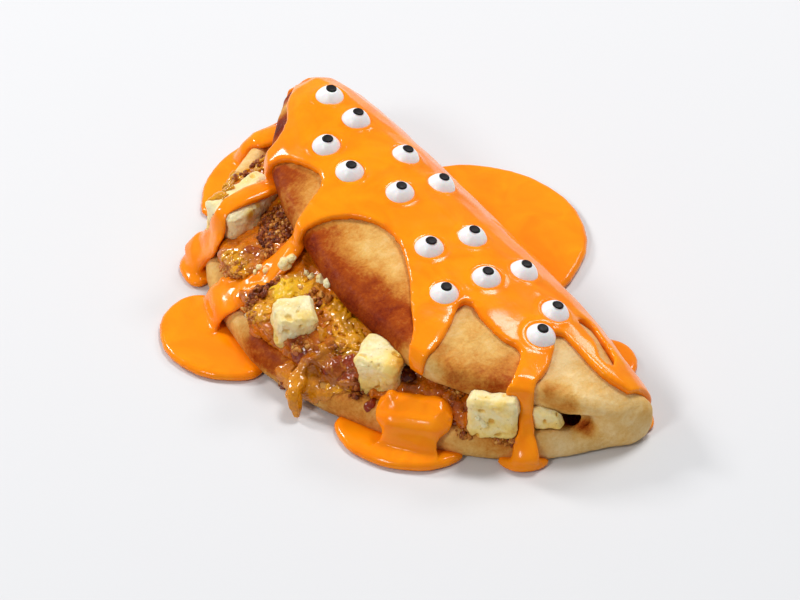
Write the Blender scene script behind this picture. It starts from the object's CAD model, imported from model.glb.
"""Looks of the dessert calzone: crust, filling, cheesecake, icing and sugar eyes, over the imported
solids."""

import math
import random

import bmesh
import bpy
import numpy as np
from mathutils import Matrix, Vector, noise
from mathutils.bvhtree import BVHTree


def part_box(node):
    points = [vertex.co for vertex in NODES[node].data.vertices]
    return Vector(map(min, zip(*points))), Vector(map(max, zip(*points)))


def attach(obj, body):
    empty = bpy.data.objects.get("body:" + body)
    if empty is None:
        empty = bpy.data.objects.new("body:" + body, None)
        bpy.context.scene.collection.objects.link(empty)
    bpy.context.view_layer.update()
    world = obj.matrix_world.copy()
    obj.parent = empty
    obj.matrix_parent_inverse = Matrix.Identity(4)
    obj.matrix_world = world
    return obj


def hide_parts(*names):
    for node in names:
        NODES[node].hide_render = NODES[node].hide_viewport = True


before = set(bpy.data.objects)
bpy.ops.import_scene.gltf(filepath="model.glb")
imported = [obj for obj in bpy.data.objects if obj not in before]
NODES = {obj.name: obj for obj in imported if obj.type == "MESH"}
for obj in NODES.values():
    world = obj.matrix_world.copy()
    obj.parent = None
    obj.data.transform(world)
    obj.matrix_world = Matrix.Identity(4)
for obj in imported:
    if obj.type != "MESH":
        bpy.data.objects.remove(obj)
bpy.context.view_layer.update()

BODY = "root"
MM = 0.001

# --- the photograph's camera ---

AZIMUTH, ELEVATION = math.radians(50), math.radians(39)
DISTANCE, LENS, SENSOR = 1.15, 139.7, 36.0
WIDTH, HEIGHT = 800, 600
AIM = Vector((-0.00714, -0.00851, 0.0))
BACK = Vector((
    math.sin(AZIMUTH) * math.cos(ELEVATION),
    -math.cos(AZIMUTH) * math.cos(ELEVATION),
    math.sin(ELEVATION),
))
RIGHT = Vector((math.cos(AZIMUTH), math.sin(AZIMUTH), 0.0))
UP = BACK.cross(RIGHT)
EYE = AIM + BACK * DISTANCE


def add_camera():
    camera = bpy.data.cameras.new("camera")
    camera.sensor_width, camera.lens = SENSOR, LENS
    obj = bpy.data.objects.new("camera", camera)
    obj.location = EYE
    obj.rotation_euler = BACK.to_track_quat("Z", "Y").to_euler()
    bpy.context.scene.collection.objects.link(obj)
    bpy.context.scene.camera = obj


def sight(px, py):
    """Direction from the camera through a pixel of the photograph."""
    focal = LENS / SENSOR * WIDTH
    return (-BACK * focal + RIGHT * (px - WIDTH / 2) + UP * (HEIGHT / 2 - py)).normalized()


def seen(tree, px, py):
    """The point of a mesh under a pixel of the photograph, or None."""
    return tree.ray_cast(EYE, sight(px, py))[0]


def slant(turn, normal):
    """The direction in a surface that looks turned by so many degrees from the image's right."""
    way = RIGHT * math.cos(math.radians(turn)) + UP * math.sin(math.radians(turn))
    return (way - normal * way.dot(normal)).normalized()


# --- mesh helpers ---

WELD = 1e-6             # points of a solid nearer than this are one
SMOOTHING = 0.5         # how far one turn of smoothing moves a point
LEAST_WEIGHT = 0.01     # smoothing weaker than this is left out


def rows(items, key):
    """Three numbers of each item, a row each."""
    out = np.empty(len(items) * 3)
    items.foreach_get(key, out)
    return out.reshape(-1, 3)


def coords(mesh):
    return rows(mesh.vertices, "co")


def normals(mesh):
    return rows(mesh.vertex_normals, "vector")


def set_coords(mesh, points):
    mesh.vertices.foreach_set("co", points.ravel())
    mesh.update()


def faces_of(objs):
    """The points and faces of several objects, as one list of each."""
    points, faces = [], []
    for obj in objs:
        start = len(points)
        points += [v.co.copy() for v in obj.data.vertices]
        faces += [[start + i for i in p.vertices] for p in obj.data.polygons]
    return points, faces


def bvh(*objs):
    return BVHTree.FromPolygons(*faces_of(objs))


def new_object(bm, name):
    """A new object of a bmesh, which is freed."""
    mesh = bpy.data.meshes.new(name)
    bm.to_mesh(mesh)
    bm.free()
    obj = bpy.data.objects.new(name, mesh)
    bpy.context.scene.collection.objects.link(obj)
    return obj


def bands(bm, rings):
    """Faces from each ring of points to the next, by ring. A ring may be a single point."""
    made = []
    for ring, after in zip(rings, rings[1:]):
        sides = max(len(ring), len(after))
        band = []
        for i in range(sides):
            j = (i + 1) % sides
            corners = (ring[i % len(ring)], ring[j % len(ring)],
                       after[j % len(after)], after[i % len(after)])
            band.append(bm.faces.new(list(dict.fromkeys(corners))))
        made.append(band)
    return made


def copy_of(names, name, swell=0.0):
    """Copies of CAD nodes as one mesh, each grown by `swell`."""
    bm = bmesh.new()
    for node in names:
        part = bmesh.new()
        part.from_mesh(NODES[node].data)
        bmesh.ops.remove_doubles(part, verts=part.verts, dist=WELD)
        part.normal_update()
        for vert in part.verts:
            vert.co += vert.normal * swell
        grown = bpy.data.meshes.new("grown")
        part.to_mesh(grown)
        part.free()
        bm.from_mesh(grown)
        bpy.data.meshes.remove(grown)
    return new_object(bm, name)


def apply(obj):
    """Turns an object's modifiers into its mesh."""
    bpy.context.view_layer.update()
    graph = bpy.context.evaluated_depsgraph_get()
    mesh = bpy.data.meshes.new_from_object(obj.evaluated_get(graph))
    obj.modifiers.clear()
    obj.data = mesh
    return obj


def soften(obj, turns, weights=None):
    """Smooths a mesh, by the points' weights where they are given."""
    modifier = obj.modifiers.new("soften", "SMOOTH")
    modifier.factor, modifier.iterations = SMOOTHING, turns
    if weights is not None:
        group = obj.vertex_groups.new(name="soft")
        for index in np.flatnonzero(weights > LEAST_WEIGHT).tolist():
            group.add([index], float(weights[index]), "REPLACE")
        modifier.vertex_group = group.name
    return apply(obj)


def remesh(obj, voxel, turns):
    """One closed skin of even small faces, softened."""
    modifier = obj.modifiers.new("skin", "REMESH")
    modifier.mode = "VOXEL"
    modifier.voxel_size = voxel
    return soften(obj, turns)


def rough(points, size, shift=0.0):
    """Noise from about -1 to 1 at each point, with features of about `size`."""
    scaled = points / size + shift
    return np.array([noise.noise(p) for p in scaled.tolist()])


def layered(points, layers):
    """Noise in layers of (height, size, shift)."""
    return sum(height * rough(points, size, shift) for height, size, shift in layers)


def nearest(tree, points):
    """Signed distance to a mesh, the nearest point on it and the normal there."""
    found = [tree.find_nearest(p) for p in points.tolist()]
    spot = np.array([f[0] for f in found])
    normal = np.array([f[1] for f in found])
    return ((points - spot) * normal).sum(1), spot, normal


def blend_of(points, spots):
    """Weights of spots (point, radius) at each point: each column adds up to at most 1."""
    weights = np.array([
        np.exp(-(np.linalg.norm(points - np.array(place), axis=1) / radius) ** 2)
        for place, radius in spots
    ])
    return weights / np.maximum(weights.sum(0), 1.0)


def painted(points, tree, spots, ground):
    """Values at the points: those of spots (x, y, radius in mm, value) placed by the photograph's
    pixels, blended over the ground values."""
    hits = [(seen(tree, x, y), radius * MM, value) for x, y, radius, value in spots]
    hits = [hit for hit in hits if hit[0] is not None]
    weights = blend_of(points, [hit[:2] for hit in hits])
    values = np.array([hit[2] for hit in hits], float)
    rest = 1 - weights.sum(0)
    return (ground.T * rest).T + weights.T @ values


def store(mesh, name, values):
    """Keeps one number or one colour for each point of a mesh."""
    kind = "FLOAT" if np.ndim(values) == 1 else "FLOAT_COLOR"
    layer = mesh.attributes.new(name, kind, "POINT")
    if kind == "FLOAT":
        layer.data.foreach_set("value", np.ascontiguousarray(values, np.float32))
    else:
        rgba = np.column_stack([values, np.ones(len(values))])
        layer.data.foreach_set("color", np.ascontiguousarray(rgba, np.float32).ravel())


def store_tint(mesh, spots):
    """Keeps the tints of spots (point, radius, tint), blended over the whole mesh."""
    weights = blend_of(coords(mesh), [spot[:2] for spot in spots])
    total = np.maximum(weights.sum(0), 1e-9)[:, None]
    store(mesh, "tint", weights.T @ np.array([spot[2] for spot in spots]) / total)


def smoothstep(x, low, high):
    """0 below `low`, 1 above `high`, and a smooth step between them."""
    t = np.clip((x - low) / (high - low), 0, 1)
    return t * t * (3 - 2 * t)


# --- materials ---

NOISE_SPAN = (0.3, 0.7)     # nearly all of a noise lies between these


class Shader:
    """A Principled material built from short calls."""

    def __init__(self, name, **values):
        self.material = bpy.data.materials.new(name)
        self.material.use_nodes = True
        self.tree = self.material.node_tree
        self.main = self.tree.nodes["Principled BSDF"]
        for socket, value in values.items():
            self.main.inputs[socket.replace("_", " ")].default_value = value
        self.place = self.node("ShaderNodeTexCoord").outputs["Object"]

    def node(self, kind, links=(), **settings):
        made = self.tree.nodes.new(kind)
        for key, value in settings.items():
            if hasattr(made, key):
                setattr(made, key, value)
            else:
                made.inputs[key.replace("_", " ")].default_value = value
        for socket, source in dict(links).items():
            self.tree.links.new(source, made.inputs[socket])
        return made

    def noise(self, size, detail=3.0, roughness=0.55, distortion=0.0, stretch=None):
        place = self.place
        if stretch:
            place = self.node(
                "ShaderNodeMapping", {"Vector": self.place}, Scale=stretch
            ).outputs["Vector"]
        made = self.node(
            "ShaderNodeTexNoise", {"Vector": place}, Scale=1 / size, Detail=detail,
            Roughness=roughness, Distortion=distortion,
        )
        return made.outputs["Fac"]

    def cells(self, size):
        return self.node(
            "ShaderNodeTexVoronoi", {"Vector": self.place}, Scale=1 / size
        ).outputs["Distance"]

    def attribute(self, name, output="Fac"):
        return self.node("ShaderNodeAttribute", attribute_name=name).outputs[output]

    def spread(self, source, low, high, start=0.0, end=1.0):
        made = self.node("ShaderNodeMapRange", {"Value": source})
        for socket, value in zip(made.inputs[1:5], (low, high, start, end)):
            socket.default_value = value
        return made.outputs["Result"]

    def maths(self, operation, a, b):
        made = self.node("ShaderNodeMath", operation=operation)
        for socket, value in zip(made.inputs, (a, b)):
            if isinstance(value, (int, float)):
                socket.default_value = value
            else:
                self.tree.links.new(value, socket)
        return made.outputs["Value"]

    def ramp(self, source, stops):
        made = self.node("ShaderNodeValToRGB", {"Fac": source})
        stop = made.color_ramp.elements
        while len(stop) < len(stops):
            stop.new(1.0)
        for element, (place, colour) in zip(stop, stops):
            element.position = place
            element.color = (*colour, 1.0)
        return made.outputs["Color"]

    def mix(self, share, a, b):
        made = self.node("ShaderNodeMix", data_type="RGBA")
        sockets = [s for s in made.inputs if s.type == "RGBA"]
        factor = made.inputs[0]
        for socket, value in zip([factor] + sockets, (share, a, b)):
            if isinstance(value, (int, float)):
                socket.default_value = value
            elif isinstance(value, tuple):
                socket.default_value = (*value, 1.0)
            else:
                self.tree.links.new(value, socket)
        return [s for s in made.outputs if s.type == "RGBA"][0]

    def colour(self, source):
        self.tree.links.new(source, self.main.inputs["Base Color"])

    def roughness(self, size, low, high):
        """Roughness that wanders between two values over patches of about `size`."""
        patches = self.spread(self.noise(size), *NOISE_SPAN, low, high)
        self.tree.links.new(patches, self.main.inputs["Roughness"])

    def bump(self, height, depth, strength, before=None):
        made = self.node("ShaderNodeBump", {"Height": height}, Distance=depth, Strength=strength)
        if before:
            self.tree.links.new(before, made.inputs["Normal"])
        self.tree.links.new(made.outputs["Normal"], self.main.inputs["Normal"])
        return made.outputs["Normal"]


def dough_material():
    s = Shader("baked_dough_look", Specular_IOR_Level=0.07, Subsurface_Weight=0.06,
               Subsurface_Scale=0.002, Subsurface_Radius=(1.0, 0.5, 0.2))
    patches = s.spread(s.noise(0.008, 5.0, 0.62, 0.6), *NOISE_SPAN, -0.11, 0.11)
    specks = s.spread(s.noise(0.0011, 3.0, 0.7), 0.35, 0.75, -0.045, 0.06)
    wrinkles = s.noise(0.0021, 4.0, 0.62, 0.4, (1.0, 0.55, 1.0))
    level = s.maths("ADD", s.maths("ADD", s.attribute("browning"), patches), specks)
    level = s.maths("ADD", level, s.spread(wrinkles, *NOISE_SPAN, 0.05, -0.05))
    s.colour(s.ramp(level, [
        (0.0, (0.84, 0.61, 0.29)), (0.24, (0.73, 0.42, 0.115)), (0.44, (0.58, 0.23, 0.035)),
        (0.64, (0.35, 0.060, 0.003)), (0.82, (0.20, 0.019, 0.001)), (1.0, (0.06, 0.005, 0.001)),
    ]))
    s.roughness(0.006, 0.38, 0.58)
    fine = s.bump(wrinkles, 0.0007, 0.7)
    s.bump(s.noise(0.0006, 2.0), 0.00015, 0.5, before=fine)
    return s.material


def icing_material():
    s = Shader("orange_icing_look", Specular_IOR_Level=0.26, Subsurface_Weight=0.10,
               Subsurface_Scale=0.002, Subsurface_Radius=(1.0, 0.45, 0.1))
    streaks = s.noise(0.018, 4.0, 0.5, 1.5)
    tint = s.mix(s.spread(streaks, 0.35, 0.7), (1.0, 0.235, 0.001), (1.0, 0.300, 0.002))
    tint = s.mix(s.spread(s.attribute("thinness"), 0.0, 1.0, 0.0, 0.35), tint, (0.93, 0.18, 0.001))
    s.colour(tint)
    s.roughness(0.010, 0.10, 0.20)
    s.bump(s.noise(0.0060, 3.0, 0.45, 0.8), 0.0003, 0.4)
    return s.material


def syrup_material():
    s = Shader("caramel_look", Specular_IOR_Level=0.10, Subsurface_Weight=0.06,
               Subsurface_Scale=0.002, Subsurface_Radius=(1.0, 0.35, 0.06), Coat_Weight=0.75,
               Coat_Roughness=0.025)
    tint = s.attribute("tint", "Color")
    clots = s.spread(s.noise(0.0030, 5.0, 0.65, 1.2), 0.42, 0.68)
    tint = s.mix(s.maths("MULTIPLY", clots, 0.32), tint, (0.20, 0.022, 0.001))
    glow = s.spread(s.noise(0.0021, 3.0, 0.5, 0.8), 0.55, 0.75)
    tint = s.mix(s.maths("MULTIPLY", glow, 0.35), tint, (0.95, 0.42, 0.008))
    s.colour(tint)
    s.roughness(0.002, 0.16, 0.34)
    first = s.bump(s.noise(0.0026, 4.0, 0.6, 1.0), 0.0010, 0.8)
    s.bump(s.noise(0.0008, 2.0), 0.0002, 0.5, before=first)
    return s.material


def pulp_material():
    s = Shader("pulp_look", Specular_IOR_Level=0.10, Subsurface_Weight=0.2,
               Subsurface_Scale=0.002, Subsurface_Radius=(1.0, 0.6, 0.1), Coat_Weight=0.75,
               Coat_Roughness=0.03)
    veins = s.spread(s.noise(0.0016, 4.0, 0.6), 0.35, 0.7)
    s.colour(s.mix(s.maths("MULTIPLY", veins, 0.25), s.attribute("tint", "Color"),
                   (0.62, 0.200, 0.003)))
    s.roughness(0.0015, 0.10, 0.25)
    s.bump(s.noise(0.0009, 3.0, 0.5, 1.0), 0.0003, 0.6)
    return s.material


# Colours of crumb, from dark to pale.
CRUMB = (
    (0.0, (0.07, 0.009, 0.001)), (0.28, (0.26, 0.045, 0.004)), (0.52, (0.55, 0.180, 0.018)),
    (0.80, (0.80, 0.42, 0.09)), (1.0, (0.90, 0.70, 0.36)),
)


def crumb_material():
    s = Shader("crumb_look", Specular_IOR_Level=0.2, Subsurface_Weight=0.05,
               Subsurface_Scale=0.001, Coat_Weight=0.25, Coat_Roughness=0.12)
    grain = s.spread(s.noise(0.0016, 4.0, 0.7), *NOISE_SPAN, -0.2, 0.2)
    level = s.maths("ADD", s.attribute("shade"), grain)
    s.colour(s.ramp(level, CRUMB))
    s.roughness(0.001, 0.30, 0.65)
    s.bump(s.noise(0.0007, 4.0, 0.7), 0.0005, 0.8)
    return s.material


def cheesecake_material():
    s = Shader("cheesecake_look", Specular_IOR_Level=0.2, Subsurface_Weight=0.25,
               Subsurface_Scale=0.003, Subsurface_Radius=(1.0, 0.75, 0.35), Coat_Weight=0.15,
               Coat_Roughness=0.12)
    level = s.maths("ADD", s.attribute("soaked"),
                    s.spread(s.noise(0.0045, 4.0, 0.6, 0.5), 0.35, 0.7, -0.10, 0.14))
    cream = s.ramp(level, [
        (0.0, (0.91, 0.80, 0.48)), (0.30, (0.88, 0.64, 0.19)), (0.60, (0.74, 0.39, 0.035)),
        (1.0, (0.34, 0.11, 0.010)),
    ])
    pores = s.spread(s.cells(0.0017), 0.10, 0.28, 1.0, 0.0)
    pores = s.maths("MULTIPLY", pores, s.spread(s.noise(0.005), 0.50, 0.62))
    cream = s.mix(s.maths("MULTIPLY", pores, 0.45), cream, (0.70, 0.44, 0.11))
    grain = s.noise(0.0013, 4.0, 0.7)
    s.colour(s.mix(s.attribute("biscuit"), cream, s.ramp(s.spread(grain, 0.32, 0.68), CRUMB)))
    s.roughness(0.002, 0.30, 0.52)
    first = s.bump(s.maths("SUBTRACT", s.noise(0.0020, 5.0, 0.65), pores), 0.0006, 0.7)
    s.bump(s.noise(0.0005, 2.0), 0.0001, 0.5, before=first)
    return s.material


def sugar_material():
    s = Shader("sugar_white_look", Specular_IOR_Level=0.5, Subsurface_Weight=0.2,
               Subsurface_Scale=0.001, Coat_Weight=0.15, Coat_Roughness=0.2)
    s.colour(s.mix(s.spread(s.noise(0.003, 3.0), *NOISE_SPAN), (0.93, 0.92, 0.92), (0.86, 0.84, 0.84)))
    s.roughness(0.002, 0.30, 0.45)
    s.bump(s.noise(0.0007, 3.0), 0.00012, 0.5)
    return s.material


def pupil_material():
    s = Shader("sugar_black_look", Specular_IOR_Level=0.15)
    s.colour(s.mix(s.noise(0.001, 2.0), (0.004, 0.003, 0.004), (0.016, 0.013, 0.014)))
    s.roughness(0.0012, 0.35, 0.55)
    s.bump(s.noise(0.0006, 2.0), 0.0001, 0.5)
    return s.material


def dress(obj, looks, slot, *replaced):
    """Gives a piece its material or materials, its body, its slot and the nodes it stands for."""
    if obj.data.materials:
        obj.data.materials.clear()
    for look in looks if isinstance(looks, tuple) else (looks,):
        obj.data.materials.append(look)
    obj.data.shade_smooth()
    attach(obj, BODY)
    if replaced:
        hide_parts(*replaced)
    return obj


# --- the dough ---

# Browned places: pixel in the photograph, radius in mm, and how brown (0 to 1).
BROWN = (
    # far lobe
    (292, 92, 8, 0.98), (279, 128, 8, 0.98), (277, 176, 7, 0.82), (290, 185, 8, 0.70),
    (300, 195, 7, 0.50), (312, 190, 6, 0.26), (282, 205, 7, 0.60), (290, 222, 6, 0.56),
    # middle lobe
    (312, 245, 9, 0.82), (330, 250, 7, 0.66), (325, 262, 7, 0.84), (345, 235, 7, 0.38),
    (360, 250, 8, 0.20), (385, 262, 7, 0.22), (338, 275, 8, 0.78), (355, 280, 9, 0.70),
    (350, 300, 8, 0.84), (372, 300, 9, 0.72), (385, 318, 9, 0.86), (395, 335, 8, 0.66),
    (370, 322, 7, 0.82), (402, 290, 5, 0.34), (404, 318, 5, 0.56),
    # near lobe
    (468, 309, 6, 0.16), (475, 335, 7, 0.26), (447, 353, 6, 0.40), (470, 365, 8, 0.40),
    (507, 374, 6, 0.56), (490, 384, 6, 0.62), (513, 365, 5, 0.50), (485, 347, 6, 0.24),
    (500, 345, 6, 0.22), (455, 385, 5, 0.60),
    # near end
    (560, 362, 6, 0.10), (580, 372, 7, 0.10), (600, 400, 8, 0.14), (615, 425, 7, 0.16),
    (560, 395, 5, 0.28), (552, 393, 4, 0.50), (567, 408, 4, 0.46), (560, 420, 5, 0.95),
    (572, 420, 3, 1.10), (578, 423, 3, 1.10), (584, 426, 3, 1.00), (589, 429, 2.5, 0.85),
    (575, 442, 7, 0.12), (600, 445, 8, 0.14),
    # lower sheet's rim
    (250, 345, 7, 0.60), (265, 350, 7, 0.72), (280, 358, 7, 0.66), (295, 378, 8, 0.56),
    (245, 362, 6, 0.20), (262, 382, 7, 0.26), (232, 335, 7, 0.16), (222, 300, 8, 0.16),
    (215, 268, 7, 0.20), (225, 215, 7, 0.22), (245, 165, 7, 0.16), (311, 404, 8, 0.34),
    (340, 410, 8, 0.36), (365, 418, 8, 0.36), (345, 396, 7, 0.60), (440, 440, 7, 0.26),
    (465, 450, 7, 0.20), (455, 434, 6, 0.44), (480, 440, 6, 0.50), (500, 443, 7, 0.60),
    (518, 446, 6, 0.62), (490, 455, 7, 0.20), (515, 456, 6, 0.24), (540, 455, 6, 0.12),
)
EVEN = 0.26             # the crust's general colour
PALER = 0.12            # how much paler it is at the near end
PALER_FROM, PALER_TO = 0.035, 0.075
UNDER = 0.15            # how much browner it is underneath
# Unevenness of that colour: amount, size and shift.
CRUST_CLOUDS = ((0.13, 0.026, 1.7), (0.08, 0.010, 5.2))
# Relief of the crust: height in mm, size and shift.
CRUST_RELIEF = ((0.55, 0.022, 0.0), (0.35, 0.009, 3.1), (0.16, 0.0038, 7.7))
# Dents: pixel, radius and depth in mm.
DENTS = ((582, 424, 3.6, 4.0), (589, 428, 2.6, 3.0), (574, 419, 3.0, 2.0))
CRUST_VOXEL, CRUST_TURNS = 1.05 * MM, 14


def make_crust():
    """The crust with its relief, its dents and its browning."""
    crust = remesh(copy_of(["folded_crust"], "crust"), CRUST_VOXEL, CRUST_TURNS)
    mesh = crust.data
    points = coords(mesh)
    ways = normals(mesh)
    relief = layered(points, CRUST_RELIEF)
    tree = bvh(crust)
    for px, py, radius, depth in DENTS:
        reach = np.linalg.norm(points - np.array(seen(tree, px, py)), axis=1) / (radius * MM)
        relief = relief - depth * np.exp(-reach ** 2)
    points = points + ways * (relief * MM)[:, None]
    points[:, 2] = np.maximum(points[:, 2], 0.0)
    set_coords(mesh, points)
    ground = EVEN + layered(points, CRUST_CLOUDS)
    ground = ground - PALER * smoothstep(points[:, 0], PALER_FROM, PALER_TO)
    ground = ground + UNDER * smoothstep(-ways[:, 2], 0.2, 0.9)
    store(mesh, "browning", painted(points, bvh(crust), BROWN, ground))
    return dress(crust, dough_material(), "baked_dough", "folded_crust")


# --- the icing ---

ICING_NODES = [n for n in NODES if n.startswith("icing_")]
SWELL = 0.45 * MM       # how far its solids swell, so that they join
ICING_VOXEL, ICING_TURNS = 0.85 * MM, 5
SINK = 0.6 * MM         # how far the icing's underside lies in the dough
HUG = 1.0 * MM          # icing nearer to the dough than this clings to it
# Where it has flowed most: place and radius.
FLOWED = (
    ((0.0585, -0.0610, 0.014), 0.026), ((-0.0380, -0.0620, 0.015), 0.024),
    ((-0.0640, -0.0500, 0.022), 0.018), ((0.0850, -0.0320, 0.012), 0.012),
)
FLOW_TURNS = 30         # turns of smoothing where it has flowed
FLOW_SINK = 0.38        # how far it sinks there towards what it lies on
FLOW_CORE = 0.6         # the share of a radius within which it has flowed in full
# Relief of the icing: height in mm, size and shift. The ripples are drawn out in height.
WAVES, RIPPLES = (0.35, 0.016, 2.2), (0.22, 0.007, 9.4)
RIPPLE_STRETCH = (1, 1, 0.6)
POOLED, HIGH = 4 * MM, 9 * MM       # puddles lie below the first, runs reach above the second
POOL_RELIEF = 0.35                  # the share of the relief that puddles have
TOP_FROM, TOP_TO = 1 * MM, 2 * MM           # how far off the dough the relief sets in
THIN_FROM, THIN_TO = 0.5 * MM, 2.2 * MM     # and how far off it the icing stops looking thin
LAST_TURNS = 2
# The raised ring round each eye, and how far along the eye's axis it reaches.
RING_RADIUS, RING_WIDTH, RING_HEIGHT, RING_REACH = 6.1 * MM, 1.1 * MM, 0.45 * MM, 5 * MM


def eye_seats():
    """Middle and direction of each sugar eye, from its solid."""
    seats = []
    for name in sorted(n for n in NODES if n.startswith("sugar_eye")):
        points = coords(NODES[name].data)
        middle = points.mean(0)
        spread = np.cov((points - middle).T)
        _, axes = np.linalg.eigh(spread)
        up = axes[:, 0] if axes[2, 0] > 0 else -axes[:, 0]
        height = (points - middle) @ up
        seats.append((name, middle, up, height.min(), height.max()))
    return seats


def flowed_share(points):
    """How much the icing has flowed at each point, from 0 to 1."""
    return np.max([
        1 - smoothstep(np.linalg.norm(points - np.array(place), axis=1), FLOW_CORE * radius, radius)
        for place, radius in FLOWED
    ], axis=0)


def ring_round(points, middle, up):
    """How near each point is to the rim of an eye: 1 on it, and less further off."""
    off = points - middle
    along = off @ up
    across = np.linalg.norm(off - along[:, None] * up, axis=1)
    return np.exp(-((across - RING_RADIUS) / RING_WIDTH) ** 2) * (np.abs(along) < RING_REACH)


def make_icing(crust, below, eyes):
    """All the icing in one skin: it sags where it has flowed, clings to the dough and rises in a
    ring round each eye."""
    icing = remesh(copy_of(ICING_NODES, "icing", SWELL), ICING_VOXEL, ICING_TURNS)
    flowed = flowed_share(coords(icing.data))
    soften(icing, FLOW_TURNS, flowed)
    mesh = icing.data
    points = coords(mesh)
    deep, spot, _ = nearest(bvh(crust, *below), points)
    sink = np.where(deep > 0, FLOW_SINK * flowed * (points[:, 2] > POOLED), 0.0)
    points = points + (spot - points) * sink[:, None]
    deep, spot, way = nearest(bvh(crust), points)
    near = smoothstep(deep, 0.0, HUG)
    sunk = spot - way * SINK
    points = np.where((deep < HUG)[:, None], sunk + (points - sunk) * near[:, None], points)
    set_coords(mesh, points)
    ways = normals(mesh)
    relief = layered(points, [WAVES]) + layered(points * RIPPLE_STRETCH, [RIPPLES])
    top = smoothstep(deep, TOP_FROM, TOP_TO)
    height = POOL_RELIEF + (1 - POOL_RELIEF) * smoothstep(points[:, 2], POOLED, HIGH)
    lift = relief * MM * top * height
    for _, middle, up, *_ in eyes:
        lift = lift + RING_HEIGHT * ring_round(points, middle, up) * top
    points = points + ways * lift[:, None]
    points[:, 2] = np.maximum(points[:, 2], 0.0)
    set_coords(mesh, points)
    soften(icing, LAST_TURNS)
    mesh = icing.data
    deep, _, _ = nearest(bvh(crust), coords(mesh))
    store(mesh, "thinness", 1 - smoothstep(deep, THIN_FROM, THIN_TO))
    return dress(icing, icing_material(), "orange_icing", *ICING_NODES)


# --- the filling ---

TINTS = {
    "yellow": (0.90, 0.52, 0.012), "gold": (0.78, 0.325, 0.004), "olive": (0.70, 0.33, 0.006),
    "honey": (0.74, 0.270, 0.003), "amber": (0.62, 0.150, 0.002), "brown": (0.36, 0.062, 0.003),
    "red": (0.24, 0.017, 0.0005), "dark": (0.05, 0.004, 0.0005),
}
# Colour of the filling: pixel of the photograph, radius in mm, and tint.
FILLING_TINTS = (
    (224, 190, 5, "olive"), (218, 197, 4, "gold"), (250, 160, 5, "amber"), (258, 162, 4, "brown"),
    (231, 258, 5, "olive"), (238, 268, 5, "gold"), (248, 256, 4, "brown"), (258, 254, 3, "brown"),
    (270, 258, 4, "amber"), (262, 290, 4, "brown"), (252, 302, 4, "brown"), (285, 292, 5, "yellow"),
    (298, 284, 4, "yellow"), (308, 288, 4, "gold"), (270, 308, 4, "gold"), (254, 314, 4, "olive"),
    (264, 328, 4, "amber"), (256, 336, 4, "amber"), (312, 300, 4, "amber"), (322, 318, 5, "amber"),
    (338, 306, 5, "gold"), (348, 320, 5, "gold"), (338, 330, 4, "amber"), (352, 340, 5, "gold"),
    (366, 352, 4, "gold"), (345, 350, 4, "olive"), (302, 338, 4, "red"), (296, 352, 4, "red"),
    (310, 364, 6, "red"), (328, 372, 6, "red"), (345, 362, 4, "dark"), (292, 380, 4, "amber"),
    (300, 392, 4, "gold"), (352, 378, 4, "brown"), (360, 388, 3, "brown"), (400, 374, 4, "dark"),
    (410, 380, 4, "dark"), (445, 384, 4, "brown"), (456, 392, 4, "amber"), (458, 412, 4, "red"),
    (449, 416, 4, "dark"), (470, 426, 4, "amber"), (486, 434, 3, "gold"), (530, 400, 4, "brown"),
    (560, 418, 5, "dark"), (580, 424, 5, "brown"),
)
HEAP = (0.0062, 0.0027, 0.0012)             # sizes of the filling's lumps
HEAP_HEIGHT = (0.0015, 0.0010, 0.0004)      # and their heights
HEAP_SHARE = 0.75       # the share of those heights that shows
HOLLOW = 0.0022         # depth at which the tint is darkest
DARKER = 0.35           # how much darker it is there
LEAST_RISE = 0.0005     # of the filling and the cheesecake over the base
FILLING_VOXEL, FILLING_TURNS = 0.75 * MM, 5
LOWER_RIM_TOP = 16.5 * MM       # crust under this is the lower sheet, which may carry loose bits


def make_filling():
    """The filling with its lumps, darker in their hollows."""
    filling = remesh(copy_of(["caramel_filling"], "filling", 0.3 * MM), FILLING_VOXEL, FILLING_TURNS)
    mesh = filling.data
    points = coords(mesh)
    shape = sum(
        height * (1 - 2.2 * np.abs(rough(points, size, 4.0 + size * 900)))
        for size, height in zip(HEAP, HEAP_HEIGHT)
    )
    raised = points + normals(mesh) * (HEAP_SHARE * shape)[:, None]
    raised[:, 2] = np.maximum(raised[:, 2], LEAST_RISE)
    set_coords(mesh, raised)
    spots = [(*spot[:3], TINTS[spot[3]]) for spot in FILLING_TINTS]
    ground = np.tile(TINTS["amber"], (len(points), 1))
    colour = painted(raised, bvh(filling), spots, ground)
    low = smoothstep(-shape, 0.0, HOLLOW)
    store(mesh, "tint", colour * (1 - DARKER * low)[:, None])
    return dress(filling, syrup_material(), "caramel", "caramel_filling")


HANGS_BELOW = 10 * MM       # under this the thread of caramel hangs free of the rim
LIES_ABOVE = 14 * MM        # over this it lies on the food
FLAT = 0.5                  # how far it is pressed there towards the food
THREAD_VOXEL, THREAD_TURNS = 0.35 * MM, 8


def make_drip(*below):
    """The thread of caramel, pressed flat where it lies on the food."""
    drip = remesh(copy_of(["caramel_drip"], "caramel_thread", 0.1 * MM), THREAD_VOXEL, THREAD_TURNS)
    points = coords(drip.data)
    deep, spot, _ = nearest(bvh(*below), points)
    lies = smoothstep(points[:, 2], HANGS_BELOW, LIES_ABOVE) * (deep > 0)
    set_coords(drip.data, points + (spot - points) * FLAT * lies[:, None])
    return drip


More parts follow.
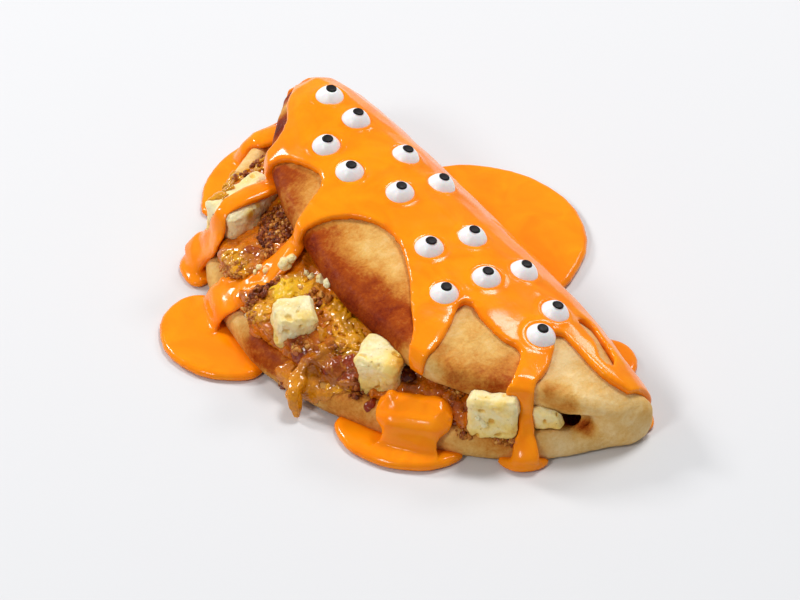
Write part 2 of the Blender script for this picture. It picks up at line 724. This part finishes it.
class Heap:
    """The food that shows, and the places on it where loose bits may lie."""

    def __init__(self, **kinds):
        objs = [obj for group in kinds.values() for obj in group]
        self.tree = bvh(*objs)
        self.kinds = [
            kind for kind, group in kinds.items() for obj in group for _ in obj.data.polygons
        ]

    def carries(self, point, index):
        kind = self.kinds[index]
        return kind in ("filling", "biscuit") or (kind == "crust" and point.z < LOWER_RIM_TOP)

    def under(self, px, py, anywhere=False):
        """The point and normal under a pixel of the photograph, where a bit may lie."""
        point, normal, index, _ = self.tree.ray_cast(EYE, sight(px, py))
        if point is None or not (anywhere or self.carries(point, index)):
            return None
        return point, normal

    def oval(self, rng, px, py, wide, high):
        """The same, at a random pixel of an oval."""
        turn, reach = rng.uniform(0, 6.283), math.sqrt(rng.random())
        return self.under(px + wide * reach * math.cos(turn), py + high * reach * math.sin(turn))


# The far end of the filling, which the photograph doesn't show: its middle and half size.
FAR_END = (Vector((-0.080, -0.020, 0.024)), Vector((0.028, 0.030, 0.018)))
OPEN_AIR = 30 * MM      # a place is open where nothing lies over it within this


def far_end(heap, rng, count):
    """Open places on the far end of the filling, and the normals there."""
    middle, half = FAR_END
    for _ in range(count):
        place = middle + Vector([rng.uniform(-reach, reach) for reach in half])
        point, normal, index, _ = heap.tree.find_nearest(place)
        over = heap.tree.ray_cast(point + normal * MM, normal, OPEN_AIR)[0]
        if heap.kinds[index] == "filling" and over is None:
            yield point, normal


def any_way(rng):
    """A random direction."""
    return Vector((rng.gauss(0, 1), rng.gauss(0, 1), rng.gauss(0, 1))).normalized()


def blob(bm, place, size, rng, wear, detail, turned=True):
    """A small uneven nugget."""
    made = bmesh.ops.create_icosphere(bm, subdivisions=detail, radius=0.5)["verts"]
    turn = Matrix.Rotation(rng.uniform(0, 6.28) if turned else 0.0, 4, any_way(rng))
    shift = rng.uniform(0, 50)
    for vert in made:
        lump = 1 + wear * noise.noise(vert.co * 2.6 + Vector((shift,) * 3))
        vert.co = place + turn @ (vert.co * Vector(size) * lump)


# Where crumb lies: an oval of pixels (x, y, half width, half height), how many, and how pale.
CRUMB_AREAS = (
    (278, 225, 14, 19, 200, 0.34), (268, 238, 9, 9, 90, 0.22), (272, 256, 13, 6, 40, 0.52),
    (264, 226, 5, 9, 50, 0.30), (285, 215, 7, 12, 40, 0.50),
    (252, 300, 6, 6, 34, 0.30), (262, 290, 7, 7, 40, 0.26), (273, 281, 7, 6, 40, 0.30),
    (236, 268, 11, 9, 40, 0.50), (252, 313, 8, 9, 26, 0.52), (300, 344, 8, 12, 22, 0.44),
    (359, 389, 12, 11, 46, 0.26), (280, 386, 6, 8, 16, 0.30), (308, 292, 9, 6, 16, 0.45),
    (322, 300, 8, 6, 16, 0.40), (455, 392, 10, 8, 26, 0.36), (508, 440, 14, 5, 44, 0.46),
    (468, 432, 12, 6, 24, 0.40), (338, 352, 9, 9, 16, 0.36), (228, 268, 6, 8, 16, 0.60),
)
FAR_CRUMB_TRIES, FAR_CRUMB_PALE = 1100, 0.34        # the same on the far end
CRUMB_SIZES = (0.7, 0.9, 1.2, 1.6, 2.0)             # in mm
CRUMB_SPREAD = (0.8, 1.3)   # how much its sides differ from that size
CRUMB_LIFT = 0.15           # how far its middle lies off the food, as a share of its size
CRUMB_WEAR = 0.9
SHADE_SCATTER = 0.13


def make_crumbs(heap):
    """Loose biscuit crumb on the filling and the rim."""
    rng = random.Random(11)
    bm = bmesh.new()
    places = []
    for *oval, count, pale in CRUMB_AREAS:
        places += [(heap.oval(rng, *oval), pale) for _ in range(count)]
    places += [(hit, FAR_CRUMB_PALE) for hit in far_end(heap, rng, FAR_CRUMB_TRIES)]
    shades = []
    for hit, pale in places:
        if hit:
            base = rng.choice(CRUMB_SIZES) * MM
            size = [base * rng.uniform(*CRUMB_SPREAD) for _ in range(3)]
            before = len(bm.verts)
            detail = 2 if base > MM else 1
            blob(bm, hit[0] + hit[1] * CRUMB_LIFT * base, size, rng, CRUMB_WEAR, detail)
            shades += [pale + rng.gauss(0, SHADE_SCATTER)] * (len(bm.verts) - before)
    crumbs = new_object(bm, "biscuit_crumb")
    store(crumbs.data, "shade", np.array(shades))
    return dress(crumbs, crumb_material(), "caramel")


# Where bits of fruit pulp lie: an oval of pixels, how many, their length in mm, the way they
# lie in the image, and their tint.
PULP_AREAS = (
    (224, 187, 9, 10, 22, 4.0, 60, "olive"), (233, 176, 5, 5, 8, 3.0, 45, "gold"),
    (232, 260, 9, 8, 20, 3.5, 30, "olive"), (240, 272, 9, 5, 12, 3.0, 20, "gold"),
    (290, 291, 17, 8, 60, 5.0, 62, "yellow"), (304, 286, 9, 6, 16, 4.5, 75, "gold"),
    (264, 312, 12, 7, 34, 4.2, 45, "gold"), (252, 318, 6, 6, 10, 3.0, 70, "olive"),
    (340, 312, 11, 13, 44, 5.0, 60, "gold"), (350, 336, 14, 11, 50, 5.0, -45, "gold"),
    (364, 348, 9, 8, 18, 4.5, -50, "olive"), (321, 322, 9, 11, 16, 5.0, 80, "amber"),
    (294, 396, 6, 7, 8, 4.5, 75, "honey"), (286, 380, 7, 6, 8, 4.0, 60, "amber"),
    (338, 389, 11, 5, 12, 5.0, 5, "gold"), (480, 432, 10, 4, 10, 3.5, 10, "gold"),
    (455, 388, 7, 5, 8, 3.5, 60, "amber"),
)
FAR_PULP = ((520, 4.5, 60, "gold"), (220, 4.0, 20, "olive"))        # the same on the far end
PULP_VOXEL, PULP_TURNS = 0.33 * MM, 3
PULP_REACH = 2.2 * MM           # how far the tint of one bit reaches
PULP_SCATTER = 22               # of the way they lie, in degrees
PULP_LENGTHS, PULP_SHINES = (0.7, 1.5), (0.75, 1.1)     # how far length and tint differ
BEAD_SIDES, BEAD_STEPS = 8, 8
BEAD_RADII = (0.55, 1.0)        # in mm
BEAD_BEND = 0.9                 # how far at most one bends over its length


def make_pulp(heap):
    """Bits of fruit pulp, joined where they lie close."""
    rng = random.Random(5)
    bm = bmesh.new()
    places = []
    for *oval, count, length, turn, tint in PULP_AREAS:
        places += [(heap.oval(rng, *oval), length, turn, tint) for _ in range(count)]
    for count, *look in FAR_PULP:
        places += [(hit, *look) for hit in far_end(heap, rng, count)]
    spots = []
    for hit, length, turn, tint in places:
        if hit:
            way = slant(turn + rng.gauss(0, PULP_SCATTER), hit[1])
            bead(bm, heap, hit[0], way, rng.uniform(*PULP_LENGTHS) * length * MM, rng)
            shine = rng.uniform(*PULP_SHINES)
            spots.append((hit[0], PULP_REACH, [shine * part for part in TINTS[tint]]))
    pulp = remesh(new_object(bm, "fruit_pulp"), PULP_VOXEL, PULP_TURNS)
    store_tint(pulp.data, spots)
    return dress(pulp, pulp_material(), "caramel")


def bead(bm, heap, point, way, length, rng):
    """A plump spindle of pulp that lies on the heap, from a point on in one direction."""
    bend = rng.uniform(-BEAD_BEND, BEAD_BEND)
    radius = rng.uniform(*BEAD_RADII) * MM
    point = point - way * 0.5 * length
    rings = []
    for step in range(BEAD_STEPS):
        share = step / (BEAD_STEPS - 1)
        surface, normal, index, _ = heap.tree.find_nearest(point)
        if not heap.carries(surface, index):
            break
        way = (way - normal * way.dot(normal)).normalized()
        side = way.cross(normal)
        thick = radius * max(0.12, math.sin(math.pi * min(0.98, 0.03 + 0.94 * share)) ** 0.7)
        middle = surface + normal * 0.4 * thick
        rings.append([
            bm.verts.new(middle + (side * math.cos(a) + normal * 0.8 * math.sin(a)) * thick)
            for a in (2 * math.pi * i / BEAD_SIDES for i in range(BEAD_SIDES))
        ])
        way = Matrix.Rotation(bend / BEAD_STEPS, 3, normal) @ way
        point = surface + way * length / BEAD_STEPS
    if len(rings) < 3:
        bmesh.ops.delete(bm, geom=[vert for ring in rings for vert in ring], context="VERTS")
        return
    bands(bm, rings)
    bm.faces.new(rings[0][::-1])
    bm.faces.new(rings[-1])


# Drops and pools of caramel: pixel, length and width in mm, turn in the image, and tint.
SYRUP = (
    # the pool in the middle of the mouth
    (310, 362, 12, 8, 0, "red"), (335, 366, 12, 8, 0, "red"), (322, 354, 9, 6, 90, "red"),
    (350, 362, 7, 6, 0, "red"), (303, 372, 8, 6, 20, "red"), (322, 374, 10, 6, 0, "red"),
    # the swirl above it and the thread that runs down into it
    (318, 311, 9, 4, 60, "gold"), (328, 321, 9, 4, 75, "gold"), (314, 326, 7, 4, 100, "honey"),
    (323, 335, 8, 4, 80, "honey"), (322, 347, 7, 3.4, 88, "gold"), (322, 358, 8, 3.4, 92, "gold"),
    (301, 337, 8, 5, 120, "red"), (309, 345, 7, 4, 110, "amber"), (296, 349, 6, 4, 90, "amber"),
    # the bulge at the left
    (257, 330, 9, 7, 10, "amber"), (265, 335, 7, 5, 0, "amber"), (250, 322, 6, 4, 90, "brown"),
    # the sheet over the rim
    (282, 374, 8, 7, 60, "amber"), (295, 378, 9, 8, 30, "honey"), (283, 388, 7, 6, 70, "honey"),
    (296, 390, 10, 8, 60, "honey"), (292, 400, 9, 7, 80, "honey"), (309, 387, 9, 6, 10, "honey"),
    (300, 372, 8, 6, 20, "honey"), (303, 382, 8, 7, 70, "honey"), (298, 404, 7, 5, 80, "honey"),
    (322, 395, 9, 5, 10, "honey"), (308, 398, 9, 5, 15, "honey"), (338, 389, 11, 5, 8, "gold"),
    (360, 379, 5, 4, 20, "gold"), (330, 382, 10, 5, 0, "red"), (362, 392, 9, 5, 40, "red"),
    (348, 384, 9, 5, 15, "brown"), (377, 417, 8, 3, 50, "red"), (370, 405, 7, 4, 60, "red"),
    # beside the second lump of cheesecake
    (408, 375, 8, 6, 0, "dark"), (398, 381, 6, 4, 0, "dark"),
    # the near side of the mouth
    (447, 398, 6, 5, 90, "amber"), (456, 410, 8, 6, 60, "brown"), (463, 420, 8, 6, 30, "amber"),
    (449, 418, 5, 5, 90, "red"), (456, 388, 7, 4, 20, "amber"), (478, 431, 8, 3, 10, "gold"),
    (467, 402, 6, 5, 80, "honey"),
    # the far end
    (229, 258, 6, 5, 30, "gold"), (240, 266, 7, 5, 20, "olive"), (251, 251, 9, 5, 15, "brown"),
    (223, 187, 10, 8, 60, "olive"), (217, 196, 8, 6, 60, "gold"), (233, 177, 8, 6, 45, "olive"),
    # more of the sheet over the rim
    (286, 380, 9, 7, 55, "honey"), (290, 366, 7, 5, 30, "amber"), (313, 380, 8, 6, 80, "honey"),
)
POOL_DEPTH = 0.32       # of a drop, as a share of its width
DROP_WEAR, DROP_DETAIL = 0.3, 4
SYRUP_VOXEL, SYRUP_TURNS = 0.42 * MM, 6
THREAD_STEP = 300       # one in so many points of the thread holds its tint
THREAD_REACH = 2.5 * MM         # and how far that reaches


def make_syrup(heap, drip):
    """The pools of caramel in one skin with the thread that hangs over the rim."""
    rng = random.Random(23)
    bm = bmesh.new()
    bm.from_mesh(drip.data)
    held = coords(drip.data)[::THREAD_STEP].tolist()
    spots = [(Vector(point), THREAD_REACH, TINTS["honey"]) for point in held]
    bpy.data.objects.remove(drip)
    for px, py, length, width, turn, tint in SYRUP:
        hit = heap.under(px, py)
        if not hit:
            continue
        point, normal = hit
        way = slant(turn, normal)
        side = normal.cross(way)
        before = len(bm.verts)
        blob(bm, Vector(), (1, 1, 1), rng, DROP_WEAR, DROP_DETAIL, turned=False)
        bm.verts.ensure_lookup_table()
        for vert in bm.verts[before:]:
            x, y, z = vert.co
            flat = point + way * (x * length * MM) + side * (y * width * MM)
            ground, up, _, _ = heap.tree.find_nearest(flat)
            vert.co = ground + (up + normal).normalized() * (z * POOL_DEPTH * width * MM)
        spots.append((point, 0.5 * length * MM, TINTS[tint]))
    syrup = remesh(new_object(bm, "caramel_syrup"), SYRUP_VOXEL, SYRUP_TURNS)
    store_tint(syrup.data, spots)
    return dress(syrup, syrup_material(), "caramel", "caramel_drip")


# --- the cheesecake ---

# Soaked places of the cheesecake: pixel, radius in mm, and how soaked (0 to 1).
SOAKED = (
    (245, 180, 5, 0.16), (262, 168, 4, 0.10), (238, 222, 5, 0.02), (250, 214, 1.6, 0.85),
    (234, 230, 3, 0.10), (258, 205, 1.2, 0.50), (246, 240, 4, 0.08), (300, 320, 3, 0.26),
    (285, 335, 5, 0.04), (298, 305, 4, 0.10), (380, 345, 6, 0.04), (372, 335, 3, 0.30),
    (362, 352, 4, 0.14), (378, 368, 5, 0.16), (392, 372, 4, 0.50), (400, 360, 4, 0.62),
    (408, 356, 3, 0.80), (490, 398, 5, 0.10), (500, 406, 2, 0.46), (508, 412, 3, 0.16),
    (495, 428, 4, 0.22), (482, 404, 3, 0.30), (540, 412, 4, 0.12), (552, 414, 3, 0.20),
)
# Where the biscuit base of one piece shows (1) and where it doesn't (0): pixel and radius in mm.
BISCUIT_PIECE = "cheesecake_piece_01"
BISCUIT = (
    (271, 211, 2.6, 1.0), (267, 219, 3.0, 1.0), (262, 228, 3.0, 1.0), (267, 236, 3.4, 1.0),
    (260, 240, 2.4, 1.0), (276, 226, 4.0, 1.0),
    (256, 212, 2.6, 0.0), (251, 222, 2.8, 0.0), (252, 233, 2.2, 0.0), (262, 205, 2.2, 0.0),
)
# Wear of the cut faces: height in mm, size and shift; and that of the grain, more on the biscuit.
CAKE_WEAR = ((1.10, 0.0090, 1.3), (0.55, 0.0042, 6.1))
GRAIN, BISCUIT_GRAIN = 0.22, 0.5
PIT_DEPTH, BISCUIT_DEPTH = 0.9, 0.5     # in mm
SOAKED_FOOT, DRIER_TOP = 0.34, 0.26     # how soaked the foot is, and how much less the top
SOAKED_PITS = 0.25                      # how much more the pits are
CAKE_VOXEL, CAKE_TURNS = 0.42 * MM, 3


def make_cheesecake(name, look):
    """One lump of cheesecake, worn and pitted, and soaked at its foot."""
    piece = remesh(copy_of([name], name + "_cut", 0.2 * MM), CAKE_VOXEL, CAKE_TURNS)
    mesh = piece.data
    points = coords(mesh)
    none = np.zeros(len(points))
    tree = bvh(piece)
    biscuit = painted(points, tree, BISCUIT, none) if name == BISCUIT_PIECE else none
    wear = layered(points, CAKE_WEAR)
    wear = wear + (GRAIN + BISCUIT_GRAIN * biscuit) * rough(points, 0.0012, 2.9)
    pits = smoothstep(rough(points, 0.0032, 12.5), 0.42, 0.62)
    wear = wear - PIT_DEPTH * pits - BISCUIT_DEPTH * biscuit
    points = points + normals(mesh) * (wear * MM)[:, None]
    points[:, 2] = np.maximum(points[:, 2], LEAST_RISE)
    set_coords(mesh, points)
    low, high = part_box(name)
    rise = (points[:, 2] - low.z) / (high.z - low.z)
    ground = SOAKED_FOOT - DRIER_TOP * smoothstep(rise, 0.2, 0.8)
    ground = ground + 0.12 * rough(points, 0.007, 8.8)
    store(mesh, "soaked", painted(points, tree, SOAKED, ground) + SOAKED_PITS * pits)
    store(mesh, "biscuit", biscuit)
    return dress(piece, look, "cheesecake", name)


# Small bits of cheesecake: pixel and size in mm.
BITS = (
    (285, 264, 6.0), (291, 259, 4.0), (260, 268, 3.0), (266, 271, 2.6), (255, 272, 2.2),
    (311, 277, 3.0), (306, 273, 2.0), (321, 280, 4.2), (328, 283, 3.2), (484, 424, 2.6),
    (478, 418, 2.0), (268, 308, 2.0), (246, 316, 1.8),
)
BIT_SPREAD = (0.75, 1.1)    # how much its sides differ from that size
BIT_LIFT = 0.1              # how far its middle lies off the food, as a share of its size
BIT_WEAR, BIT_DETAIL = 0.32, 4


def make_bits(heap, look):
    """Small bits of cheesecake on the filling and the icing."""
    rng = random.Random(31)
    bm = bmesh.new()
    for px, py, width in BITS:
        hit = heap.under(px, py, anywhere=True)
        size = [width * MM * rng.uniform(*BIT_SPREAD) for _ in range(3)]
        blob(bm, hit[0] + hit[1] * BIT_LIFT * width * MM, size, rng, BIT_WEAR, BIT_DETAIL)
    bits = new_object(bm, "cheesecake_bits")
    points = coords(bits.data)
    store(bits.data, "soaked", 0.10 + 0.12 * rough(points, 0.003, 4.4))
    store(bits.data, "biscuit", np.zeros(len(points)))
    return dress(bits, look, "cheesecake")


# --- the sugar eyes ---

EYE_SIDES = 48
EYE_RADIUS = 5.45 * MM
BRIM = 0.9 * MM         # from the eye's underside up to its widest ring
FOOT, FOOT_RISE = 0.62, 0.2 * MM        # the foot's share of that radius, and its height
DOME_STEPS = 14
DOME_SHOULDER, DOME_FALL = 1.3, 0.72    # powers that round the dome's outline
DOME_SHARE = 0.92       # of the height that the dome takes up
PUPIL = 1.95 * MM
# The pupil's outline: share of its radius, and height in mm over the dome's top.
PUPIL_CAP = ((1.0, 0.05), (1.0, 0.35), (0.9, 0.52), (0.6, 0.62), (0.3, 0.66), (0.0, 0.67))
LEAN = 0.25             # how far at most the pupil sits off the middle, in mm
WOBBLE = 0.025          # how far the rings are from round


def eye_outline(low, high):
    """The outlines of the dome and the pupil: radius and height, from the bottom up."""
    height = high - low - 1.0 * MM
    hole = 1.02 * PUPIL
    dome = [(0.0, low), (FOOT * EYE_RADIUS, low + FOOT_RISE)]
    for step in range(DOME_STEPS + 1):
        rise = step / DOME_STEPS
        width = hole + (EYE_RADIUS - hole) * (1 - rise ** DOME_SHOULDER) ** DOME_FALL
        dome.append((width, low + BRIM + DOME_SHARE * height * rise))
    top = dome[-1][1]
    return dome, [(share * PUPIL, top + lift * MM) for share, lift in PUPIL_CAP]


def eye_ring(bm, radius, height, shift, wobble):
    """The points of one ring of an eye, or its one point on the axis."""
    if radius == 0:
        return [bm.verts.new((shift.x, shift.y, height))]
    ring = []
    for side in range(EYE_SIDES):
        a = 2 * math.pi * side / EYE_SIDES
        out = radius * (1 + WOBBLE * noise.noise(Vector((math.cos(a), math.sin(a), wobble))))
        ring.append(bm.verts.new((out * math.cos(a) + shift.x, out * math.sin(a) + shift.y, height)))
    return ring


def make_eye(seat, white, black):
    """A white sugar dome with a black pupil."""
    name, middle, up, low, high = seat
    rng = random.Random(name)
    dome, pupil = eye_outline(low, high)
    bm = bmesh.new()
    wobble = rng.uniform(0, 9)
    lean = Vector((rng.uniform(-LEAN, LEAN), rng.uniform(-LEAN, LEAN), 0)) * MM
    rings = []
    for radius, height in dome + pupil:
        on_pupil = radius <= PUPIL * 1.01 and height > low + BRIM
        rings.append(eye_ring(bm, radius, height, lean if on_pupil else Vector(), wobble))
    for band in bands(bm, rings)[len(dome) - 1:]:
        for face in band:
            face.material_index = 1
    bmesh.ops.recalc_face_normals(bm, faces=bm.faces)
    turn = Vector(up).to_track_quat("Z", "Y").to_matrix().to_4x4()
    bm.transform(Matrix.Translation(Vector(middle)) @ turn)
    eye = new_object(bm, name + "_candy")
    return dress(eye, (white, black), "sugar_eye", name)


# --- surroundings ---

FLOOR_HALF, FLOOR_DROP = 4, 0.0002      # half the floor's width, and its depth under the base
WORLD_COLOUR, WORLD_STRENGTH = (0.95, 0.97, 1.0, 1.0), 0.30
LIGHTS_AIM = Vector((0, 0, 0.02))
# Softboxes: place, size and watts. The main one is high behind, and smaller ones are low behind,
# at the left and in front.
LIGHTS = {
    "softbox_top": ((-0.10, 0.55, 1.45), (0.45, 0.38), 12),
    "softbox_back": ((-0.15, 1.10, 0.95), (0.4, 0.3), 4),
    "softbox_left": ((-1.20, -0.45, 0.90), (0.20, 0.35), 11),
    "softbox_front": ((0.15, -1.25, 1.10), (0.32, 0.28), 7),
}


def add_floor():
    bm = bmesh.new()
    bmesh.ops.create_grid(bm, x_segments=1, y_segments=1, size=FLOOR_HALF)
    floor = new_object(bm, "floor")
    floor.location.z = -FLOOR_DROP
    s = Shader("floor_look", Roughness=0.5, Specular_IOR_Level=0.2)
    s.colour(s.mix(s.noise(0.5, 1.0), (0.69, 0.69, 0.70), (0.71, 0.71, 0.72)))
    floor.data.materials.append(s.material)


def add_light(name, place, size, power):
    light = bpy.data.lights.new(name, "AREA")
    light.shape, light.size, light.size_y = "RECTANGLE", *size
    light.energy = power
    obj = bpy.data.objects.new(name, light)
    obj.location = place
    obj.rotation_euler = (Vector(place) - LIGHTS_AIM).to_track_quat("Z", "Y").to_euler()
    bpy.context.scene.collection.objects.link(obj)


def add_lights():
    world = bpy.data.worlds.new("studio")
    world.use_nodes = True
    background = world.node_tree.nodes["Background"].inputs
    background["Color"].default_value = WORLD_COLOUR
    background["Strength"].default_value = WORLD_STRENGTH
    bpy.context.scene.world = world
    for name, light in LIGHTS.items():
        add_light(name, *light)


def main():
    bpy.context.scene.view_settings.view_transform = "Standard"
    add_camera()
    add_floor()
    add_lights()
    eyes = eye_seats()
    crust = make_crust()
    filling = make_filling()
    drip = make_drip(crust, filling)
    look = cheesecake_material()
    cakes = [make_cheesecake(n, look) for n in sorted(NODES) if n.startswith("cheesecake")]
    icing = make_icing(crust, [filling, *cakes], eyes)
    heap = Heap(filling=[filling, drip], biscuit=cakes[:1], cheesecake=cakes[1:], crust=[crust],
                icing=[icing])
    make_crumbs(heap)
    make_pulp(heap)
    make_syrup(heap, drip)
    make_bits(heap, look)
    white, black = sugar_material(), pupil_material()
    for seat in eyes:
        make_eye(seat, white, black)


main()
